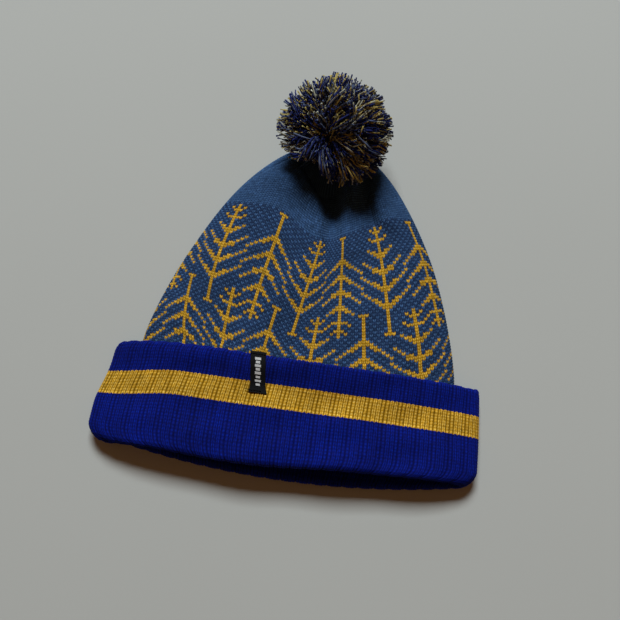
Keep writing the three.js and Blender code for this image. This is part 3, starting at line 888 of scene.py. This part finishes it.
def build_cuff():
    """The cuff from inside its free edge over the rim, down its face, round the hem and up the inner band."""
    upper = [(CUFF_HEIGHT - 8, RIB_THICKNESS, 0.0, 0.5), (CUFF_HEIGHT - 4, RIB_THICKNESS, 0.0, 0.5)]
    for step in range(RIM_STEPS + 1):
        turn = math.pi * step / RIM_STEPS
        height = CUFF_HEIGHT - RIM_RADIUS * (1 - math.sin(turn))
        upper.append((height, RIM_RADIUS * (1 + math.cos(turn)), 0.6, 0.5 * step))
    upper += flat_rows(CUFF_HEIGHT - 1.7, STRIPE_TO)
    rib_piece("cuff_upper_knit", upper, ROYAL, "royal_rib", "cuff_upper_rib")
    stripe = flat_rows(STRIPE_TO, STRIPE_FROM)
    rib_piece("cuff_stripe_knit", stripe, GOLD, "gold_yarn", "cuff_gold_stripe", fringe=0.5)
    lower = flat_rows(STRIPE_FROM, FOLD_RADIUS)
    for step in range(1, FOLD_STEPS + 1):
        turn = math.pi * step / FOLD_STEPS
        inset = FOLD_RADIUS * (1 - math.cos(turn))
        lower.append((FOLD_RADIUS * (1 - math.sin(turn)), inset, 0.3, -0.5 * step))
    rib_piece("cuff_lower_knit", lower, ROYAL, "royal_rib", "cuff_lower_rib")
    band = flat_rows(FOLD_RADIUS, LINK_HEIGHT, 2 * FOLD_RADIUS)
    rib_piece("inner_band_knit", band, ROYAL, "royal_rib", "inner_band")


build_crown()
build_crown_lining()
build_cuff()

# ---- threads


UP = np.array([0.0, 0.0, 1.0])
ACROSS = np.array([1.0, 0.0, 0.0])
TUBE_SIDES = 6


def tube(path, radius, lobes=0.0, turns_per_mm=0.0, taper=1.0):
    """Points and quads of a closed tube along a path; lobes and turns give the section of twisted plies."""
    path = np.asarray(path, dtype=float)
    count = len(path)
    ahead = unit(np.gradient(path, axis=0))
    aside = np.zeros_like(path)
    last = np.cross(ahead[0], UP if abs(ahead[0, 2]) < 0.8 else ACROSS)
    for i in range(count):
        last = unit(last - ahead[i] * np.dot(last, ahead[i]))
        aside[i] = last
    other = np.cross(ahead, aside)
    around = 2 * np.pi * np.arange(TUBE_SIDES) / TUBE_SIDES
    angle = around[None, :] + 2 * np.pi * turns_per_mm * lengths_along(path)[:, None]
    size = (radius * taper * np.ones(count))[:, None] * (1 + lobes * np.cos(2 * around))[None, :]
    ring = aside[:, None, :] * np.cos(angle)[..., None] + other[:, None, :] * np.sin(angle)[..., None]
    points = path[:, None, :] + ring * size[..., None]
    caps = np.array([[3, 2, 1, 0], [5, 4, 3, 0], [0, 1, 2, 3], [0, 3, 4, 5]])
    caps[2:] += (count - 1) * TUBE_SIDES
    return points.reshape(-1, 3), np.concatenate([grid_faces(count, TUBE_SIDES), caps])


def plied_yarn(path, radius, pitch=2.6, step=0.5):
    """Two plies wound round each other along a path."""
    path = np.asarray(path, dtype=float)
    length = lengths_along(path)
    stations = np.linspace(0, length[-1], max(4, int(length[-1] / step)))
    smooth = np.stack([np.interp(stations, length, column) for column in path.T], axis=-1)
    ahead = unit(np.gradient(smooth, axis=0))
    level = np.abs(ahead[:, 2]).max() < 0.9
    aside = unit(np.cross(ahead, UP if level else ACROSS + 0.2 * np.array([0.0, 1.0, 0.5])))
    other = np.cross(ahead, aside)
    plies = []
    for share in (0.0, 0.5):
        angle = 2 * np.pi * (stations / pitch + share)[:, None]
        centre = smooth + 0.5 * radius * (aside * np.cos(angle) + other * np.sin(angle))
        plies.append(tube(centre, 0.56 * radius))
    return join_parts(plies)


def thread_piece(name, path, radius, material, body, slot, replaced, **options):
    """A piece of two-ply yarn along a path."""
    place(mesh_piece(name, *plied_yarn(path, radius, **options), [material]), body, slot, replaced)


def tube_path(section, y, across, in_front, off_the_knit=0.0):
    """Points along the tube's inner face at heights y, a little into the hollow."""
    x = tube_x(section, across)
    z = tube_height(section, across, in_front) + np.where(in_front, -off_the_knit, off_the_knit)
    return xyz(x, y, z)


SEAM_RADIUS = 0.45
SEAM_GAP = 0.95  # from the knit's inner face to the middle of a seam's thread
CHAIN_RADIUS = 0.42
GATHER_RADIUS = 3.9


def build_seams():
    """The linking chain, the seams of the tube and its darts, and the drawn-up thread round the hole."""
    chain_y = LINK_HEIGHT + 0.1
    round_shares = round_the_tube(np.linspace(0, 1, 241))
    chain = tube_path(cuff_section(chain_y, BAND_INSET + 1.3), chain_y, *round_shares)
    thread_piece("link_chain", chain, CHAIN_RADIUS, ROYAL, "hat", "royal_rib", "link_seam")

    y = np.linspace(8, 190, 120)
    band = tube_path(cuff_section(y, BAND_INSET + RIB_THICKNESS), y, 0.0, False, SEAM_GAP)
    crown = tube_path(crown_section(y, KNIT_THICKNESS), y, 0.0, False, SEAM_GAP)
    path = np.where((y < LINK_HEIGHT)[:, None], band, crown)
    path[:, 0] += 0.8 * (-1.0) ** np.arange(len(y))
    thread_piece("back_overcast_seam", path, SEAM_RADIUS, SLATE, "hat", "slate_knit", "back_seam", step=0.4)

    y = np.linspace(160, 192, 24)
    for side_name, side in (("left", -1), ("right", 1)):
        across = side * np.linspace(0.72, 0.45, len(y))
        for layer, in_front in (("front", True), ("back", False)):
            path = tube_path(crown_section(y, KNIT_THICKNESS), y, across, in_front, SEAM_GAP)
            name = f"{layer}_dart_thread_{side_name}"
            node = f"{layer}_dart_seam_{side_name}"
            thread_piece(name, path, SEAM_RADIUS, SLATE, "hat", "slate_knit", node)

    angle = np.linspace(0, 2 * np.pi, 60)
    low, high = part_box("gather_thread")
    height = (low[2] + high[2]) / 2 * 1000 + 0.15 * np.cos(7 * angle)
    ring = xyz(PIVOT[0] + GATHER_RADIUS * np.cos(angle), PIVOT[1] + GATHER_RADIUS * np.sin(angle), height)
    thread_piece("gather_yarn", ring, 0.5, SLATE, "hat", "slate_knit", "gather_thread", pitch=2.0, step=0.3)


build_seams()

# ---- labels

LABEL_X = -20.0
LABEL_FLAT = (0.0105, 0.0235)  # metres
LABEL_LENGTH = 1000 * LABEL_FLAT[1]
LABEL_WIDTH = 1000 * LABEL_FLAT[0] - 1.7  # with its edges turned under
LABEL_TO = 56.9
LABEL_FROM = LABEL_TO - LABEL_LENGTH
LABEL_LEAN = 0.12
LABEL_THICKNESS = 0.45
LABEL_COLUMNS = 36
LABEL_ROWS = 80
BARS = 8


def cuff_face(x, y):
    """The visible front face of the cuff at x and y."""
    share = share_in_front(cuff_section(y, 0), x, 0.999)
    return cuff_surface(np.array([[float(y)]]), np.array([[share]]), np.array([[0.0]]))[0, 0]


def two_faced(top, thickness):
    """Points and quads of a sheet's upper and lower faces, from the grid of its upper one."""
    faces = grid_faces(*top.shape[:2], wrap=False)
    under = top - np.array([0, 0, thickness])
    return join_parts([(top.reshape(-1, 3), faces), (under.reshape(-1, 3), faces[:, ::-1])])


def sheet_edges(rows, columns):
    """Quads that close a two-faced sheet of that many rows and columns of points all round."""
    index = np.arange(rows * columns).reshape(rows, columns)
    quads = []
    for line in (index[:, -1], index[::-1, 0], index[0], index[-1, ::-1]):
        under = line + rows * columns
        quads.append(np.stack([under[:-1], under[1:], line[1:], line[:-1]], axis=-1))
    return np.concatenate(quads)


def label_bars():
    """Which of the label's faces show white thread: a row of plain bars, wide and narrow by turns."""
    row, column = np.meshgrid(np.arange(LABEL_ROWS), np.arange(LABEL_COLUMNS), indexing="ij")
    along = (row + 0.5) / LABEL_ROWS
    across = (column + 0.5) / LABEL_COLUMNS
    mark = np.zeros(row.shape, dtype=bool)
    for index in range(BARS):
        reach = 0.2 if index % 2 else 0.15
        mark |= (np.abs(along - 0.2 - 0.088 * index) < 0.03) & (np.abs(across - 0.5) < reach)
    return mark.ravel()


def build_label():
    """Black woven tape sewn to the cuff, with a row of plain woven bars instead of lettering."""
    points = np.zeros((LABEL_ROWS + 1, LABEL_COLUMNS + 1, 3))
    column = np.arange(LABEL_COLUMNS + 1)
    curl = 0.25 * np.abs(2 * column / LABEL_COLUMNS - 1) ** 3
    for row in range(LABEL_ROWS + 1):
        y = LABEL_FROM + LABEL_LENGTH * row / LABEL_ROWS
        middle = cuff_face(LABEL_X, y)
        flare = 0.9 * smoothstep(-y, -(LABEL_FROM + 4.5), -LABEL_FROM)
        slope = (cuff_face(LABEL_X + 4, y)[2] - cuff_face(LABEL_X - 4, y)[2]) / 8
        across = (column / LABEL_COLUMNS - 0.5) * (LABEL_WIDTH + 2 * flare)
        points[row, :, 0] = LABEL_X + across + LABEL_LEAN * (LABEL_TO - y)
        points[row, :, 1] = middle[1] + 0.35 * slope
        points[row, :, 2] = middle[2] + slope * across + 0.95 - curl
        points[row, :, 2] += 0.03 * ((row + column) % 2)
    solid, faces = two_faced(points, LABEL_THICKNESS)
    faces = np.concatenate([faces, sheet_edges(*points.shape[:2])])
    bars = label_bars()
    material_of_face = np.zeros(len(faces))
    material_of_face[: len(bars)] = bars
    yarns = [LABEL_BLACK, LABEL_WHITE]
    label = mesh_piece("woven_tape_label", solid, faces, yarns, material_of_face=material_of_face)
    place(label, "hat", "black_label", "woven_label")
    threads = []
    stitch = np.array([[-0.6, 0, 1.0], [-0.3, 0.05, 1.28], [0.3, -0.05, 1.28], [0.6, 0, 1.0]])
    for name, y in (("bottom", LABEL_FROM + 1.4), ("top", LABEL_TO - 1.4)):
        stitches = [tube(cuff_face(x, y) + stitch, 0.2) for x in np.linspace(LABEL_X - 4, LABEL_X + 4, 6)]
        threads.append(mesh_piece(f"label_thread_{name}", *join_parts(stitches), [LABEL_BLACK]))
        place(threads[-1], "hat", "black_label", f"label_stitch_{name}")


def build_care_label():
    """A satin label in the mouth of the hat, sewn to the inner band along its upper edge."""
    low, high = (hat_mm(corner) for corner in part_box("care_label"))
    across = np.linspace(low[0] + 0.1, high[0] - 0.1, 29)
    y, x = np.meshgrid(np.linspace(low[1] + 0.1, high[1], 21), across, indexing="ij")
    free = (high[1] - y) / (high[1] - low[1])
    ripple = 0.16 * free * np.sin(0.45 * (x - low[0]) + 0.6) + 0.3 * free**2
    top = xyz(x, y, high[2] - 0.05 + ripple)
    tag = mesh_piece("satin_care_label", *two_faced(top, 0.25), [SATIN])
    place(tag, "care_tag", "white_satin", "care_label")
    low, high = (hat_mm(corner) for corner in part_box("care_label_stitch"))
    stitch = np.array([[-1.0, 0, -0.1], [0, 0.05, 0.12], [1.0, 0, -0.1]])
    parts = []
    for index in range(9):
        middle = (low + high) / 2
        middle[0] = low[0] + (high[0] - low[0]) * (index + 0.5) / 9
        parts.append(tube(middle + stitch, 0.2))
    thread = mesh_piece("care_label_thread", *join_parts(parts), [ROYAL])
    place(thread, "hat", "royal_rib", "care_label_stitch")


build_label()
build_care_label()

# ---- pom

CORD_RUN = POM_CENTRE - PIVOT
POM_HEIGHT = float(np.linalg.norm(CORD_RUN))
LEAN = math.atan2(-CORD_RUN[1], CORD_RUN[2])
POM_TURN = np.array(Matrix.Rotation(LEAN, 3, "X"))
CONE_FOOT = 4.6  # the pom's underside starts this far up the cord
CONE_SLOPE = 0.363  # and rises this much for each millimetre outward
CLOSING_RADIUS = 14.0  # how far round the hole the gathered rows lie
CROWN_CLEARANCE = 1.5  # between the strands and the crown at either end of the sway
SWAY_LIMITS = [math.radians(limit) for limit in JOINTS["pom_sway"]["range_deg"]]
SWAY_AXIS = Vector(JOINTS["pom_sway"]["axis"])


def from_pom(points):
    """Points in the pom's own frame, from the cord's hole with Z along the cord, in the hat's measure."""
    return np.asarray(points) @ POM_TURN.T + PIVOT


def even_directions(count):
    """Directions spread evenly over a ball."""
    index = np.arange(count) + 0.5
    z = 1 - 2 * index / count
    around = np.pi * (1 + 5**0.5) * index
    flat = np.sqrt(1 - z**2)
    return xyz(flat * np.cos(around), flat * np.sin(around), z)


def crown_face_height(x, y):
    """Height of the crown's front face at x and y, far down where there is no crown."""
    section = crown_section(y, 0)
    across = (x - section["centre"]) / section["half_width"]
    inside = np.clip(across, -1, 1)
    height = tube_height(section, inside, True) + (1 - np.abs(inside) ** 6) * crown_folds(x, y, True)
    height = np.where(np.abs(across) > 1.04, -CROWN_END, height)
    near_hole = np.hypot(x - PIVOT[0], y - PIVOT[1]) < CLOSING_RADIUS
    return np.where(near_hole, np.maximum(height, PIVOT[2] + 1.8), height)


def underside_reach():
    """Angles from the cord, and how far a strand may reach there clear of the crown at any sway or twist."""
    angles = np.linspace(0.45 * np.pi, np.pi, 56)
    radii = np.linspace(6, POM_RADIUS, 90)
    around = np.linspace(0, 2 * np.pi, 73)[:-1]
    angle, radius, turn = np.meshgrid(angles, radii, around, indexing="ij")
    flat = radius * np.sin(angle)
    ball = xyz(flat * np.cos(turn), flat * np.sin(turn), radius * np.cos(angle) + POM_HEIGHT)
    clear = np.ones(angle.shape, dtype=bool)
    for swing in (*SWAY_LIMITS, 0.0):
        sway = np.array(Matrix.Rotation(swing, 3, SWAY_AXIS))
        places = (from_pom(ball) - PIVOT) @ sway.T + PIVOT
        clear &= places[..., 2] > crown_face_height(places[..., 0], places[..., 1]) + CROWN_CLEARANCE
    touched = ~clear.all(axis=2)
    first = np.where(touched.any(axis=1), touched.argmax(axis=1), len(radii) - 1)
    return angles, radii[first]


UNDERSIDE = underside_reach()


def reach_limit(direction):
    """How far a strand may reach before the crown beneath the pom."""
    angle = np.arccos(np.clip(direction[:, 2], -1, 1))
    cone = (POM_HEIGHT - CONE_FOOT) / np.maximum(1e-3, CONE_SLOPE * np.sin(angle) - np.cos(angle))
    cone = np.where(angle > 0.5 * np.pi, cone, POM_RADIUS)
    return np.minimum(cone, np.interp(angle, *UNDERSIDE))


STRANDS = 5200
CLUMPS = 760
STRAND_START = 9.0  # distance of a strand's inner end from the pom's middle
POM_YARNS = (  # yarn, its share of the strands, material, slot and the CAD bundles that it stands for
    ("navy", 0.46, NAVY, "navy_yarn", (1, 4, 6)),
    ("slate", 0.22, POM_SLATE, "slate_knit", (3, 8)),
    ("gold", 0.16, POM_GOLD, "gold_yarn", (2, 7)),
    ("ivory", 0.16, IVORY, "ivory_yarn", (5,)),
)
PARTING = unit(np.array([-0.18, -0.62, 0.77]) @ POM_TURN)
SPREAD = 0.44  # how far the strands are laid over, away from the parting
VIEW_ACROSS = np.array([1.0, 0.0, 0.0]) @ POM_TURN
VIEW_UP = np.array([0.0, 0.85, 0.52]) @ POM_TURN
PRESSED = (  # a direction in which the ball is pressed in, and how far its strands reach there
    ((0.0, -0.35, 0.94), 31.0),
    ((0.0, -0.71, 0.7), 24.5),
    ((-0.55, -0.3, 0.78), 24.0),
)


def laid_over(directions):
    """Strand directions laid away from the parting, as the ball has been pressed open there."""
    toward = directions @ PARTING
    away = unit(directions - toward[:, None] * PARTING + 1e-6)
    return unit(directions + (SPREAD * np.maximum(0, toward) ** 0.8)[:, None] * away)


def trimmed_reach(tips):
    """How far strands reach: a ball with a gap low on the left, pressed in above the crown."""
    across = tips @ VIEW_ACROSS
    upward = tips @ VIEW_UP
    turn = np.degrees(np.arctan2(upward, across))
    outline = POM_RADIUS * (1.0 - 0.44 * bump_at(turn, -116, 27) - 0.05 * bump_at(turn, 90, 50))
    outline += 1.4 * bump_at(turn, -72, 14)
    reach = np.minimum(POM_RADIUS, outline / np.maximum(0.25, np.hypot(across, upward)))
    for direction, limit in PRESSED:
        facing = tips @ (np.array(direction) @ POM_TURN)
        reach = np.minimum(reach, limit / np.maximum(0.5, facing))
    return reach


def build_pom():
    """Cut strands in clumps, each strand a piece of twisted yarn from the tie to its own tip."""
    directions = unit(even_directions(STRANDS) + rng.normal(0, 0.02, (STRANDS, 3)))
    clumps = unit(even_directions(CLUMPS) + rng.normal(0, 0.06, (CLUMPS, 3)))
    nearest = np.argmax(directions @ clumps.T, axis=1)
    clump_reach = rng.uniform(-6.5, 0.6, CLUMPS)
    clump_sway = rng.normal(0, 0.22, (CLUMPS, 3))
    tips = 0.35 * directions + 0.65 * clumps[nearest] + clump_sway[nearest]
    tips = laid_over(unit(tips + rng.normal(0, 0.06, (STRANDS, 3))))
    reach = trimmed_reach(tips) + clump_reach[nearest] + rng.uniform(-3.0, 0.8, STRANDS)
    reach = np.minimum(reach, reach_limit(tips) - rng.uniform(0, 0.8, STRANDS))
    stations = np.linspace(0, 1, 7)
    bend = stations[:, None] ** 1.2
    curl = rng.normal(0, 1.0, (STRANDS, 3))
    thick = rng.uniform(0.3, 0.46, STRANDS)
    choice = rng.random(STRANDS)
    clump_choice = rng.random(CLUMPS)[nearest]
    choice = np.where(rng.random(STRANDS) < 0.25, clump_choice, choice)
    shade = np.clip(rng.normal(1.0, 0.22, STRANDS), 0.5, 1.6)
    yarn_of_strand = np.searchsorted(np.cumsum([share for _, share, *_ in POM_YARNS]), choice)
    for number, (name, _, material, slot, bundles) in enumerate(POM_YARNS):
        chosen = np.flatnonzero(yarn_of_strand == number)
        parts = []
        for index in chosen:
            heading = unit(directions[index] * (1 - bend) + tips[index] * bend)
            path = heading * (STRAND_START + (reach[index] - STRAND_START) * stations)[:, None]
            path += curl[index] * (np.sin(np.pi * stations) * 0.7)[:, None]
            path[:, 2] += POM_HEIGHT
            points, faces = tube(path, thick[index], 0.22, 0.16, taper=1 + 0.12 * stations)
            parts.append((from_pom(points), faces))
        tint = np.repeat(shade[chosen], len(parts[0][1]))
        points, faces = join_parts(parts)
        relief = np.full(len(points), 0.75)
        piece = mesh_piece(f"pom_strands_{name}", points, faces, [material], tint, relief)
        place(piece, "pom", slot, *(f"pom_bundle_{bundle}_{name}" for bundle in bundles))


def build_pom_core():
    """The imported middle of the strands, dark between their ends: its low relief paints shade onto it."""
    rows, columns = 40, 64
    tilt = np.linspace(0.02, np.pi - 0.02, rows)
    around = 2 * np.pi * np.arange(columns) / columns
    t, a = np.meshgrid(tilt, around, indexing="ij")
    direction = xyz(np.sin(t) * np.cos(a), np.sin(t) * np.sin(a), np.cos(t))
    lumps = 0.9 * np.sin(7 * a + 3 * t) * np.sin(9 * t) + 0.6 * np.sin(13 * a - 5 * t)
    radius = 13.0 + lumps * np.sin(t)
    points = direction * radius[..., None]
    points[..., 2] += POM_HEIGHT
    faces = grid_faces(rows, columns)[:, ::-1]
    # a low relief: painted shade in the gaps between the strands
    relief = np.full(points.shape[:2], 0.1)
    place(mesh_piece("pom_core", from_pom(points), faces, [NAVY], None, relief), "pom", "navy_yarn")


CORD_BELOW = -1.9  # the cord's lower end, from the hole
CORD_END = 14.4  # its upper end, below the pom's middle
CORD_RADIUS = 0.78
TIE_RADIUS = 5.0
TIE_TURNS = 3


def knot(size, height):
    """Points and quads of a trefoil of yarn on the cord."""
    turn = np.linspace(0, 2 * np.pi, 64)
    x = 0.225 * size * (np.sin(turn) + 2 * np.sin(2 * turn))
    y = 0.225 * size * (np.cos(turn) - 2 * np.cos(2 * turn))
    return tube(from_pom(xyz(x, y, height - 0.5 * size * np.sin(3 * turn))), 0.42 * size)


def build_cord():
    """The pom's cord, the knots at its two ends and the tie round the middle of the strands."""
    cord = from_pom(xyz(0, 0, np.linspace(CORD_BELOW, POM_HEIGHT - CORD_END, 20)))
    thread_piece("pom_cord_yarn", cord, CORD_RADIUS, NAVY, "cord", "navy_yarn", "pom_cord", step=0.35)
    for name, height, size, body, node in (
        ("closing_knot_yarn", -3.4, 1.15, "cord_anchor", "closing_knot"),
        ("tie_knot_yarn", POM_HEIGHT - 11.0, 1.5, "cord", "tie_knot"),
    ):
        points, faces = knot(size, height)
        relief = np.full(len(points), 0.7)
        place(mesh_piece(name, points, faces, [NAVY], None, relief), body, "navy_yarn", node)
    turn = np.linspace(0, 2 * np.pi * TIE_TURNS, 160)
    aside = 0.55 * np.sin(turn / 6 * 5)
    winding = xyz(aside, TIE_RADIUS * np.cos(turn), POM_HEIGHT + TIE_RADIUS * np.sin(turn))
    thread_piece("pom_tie_yarn", from_pom(winding), 0.5, NAVY, "pom", "navy_yarn", "pom_tie")


build_pom()
build_pom_core()
build_cord()
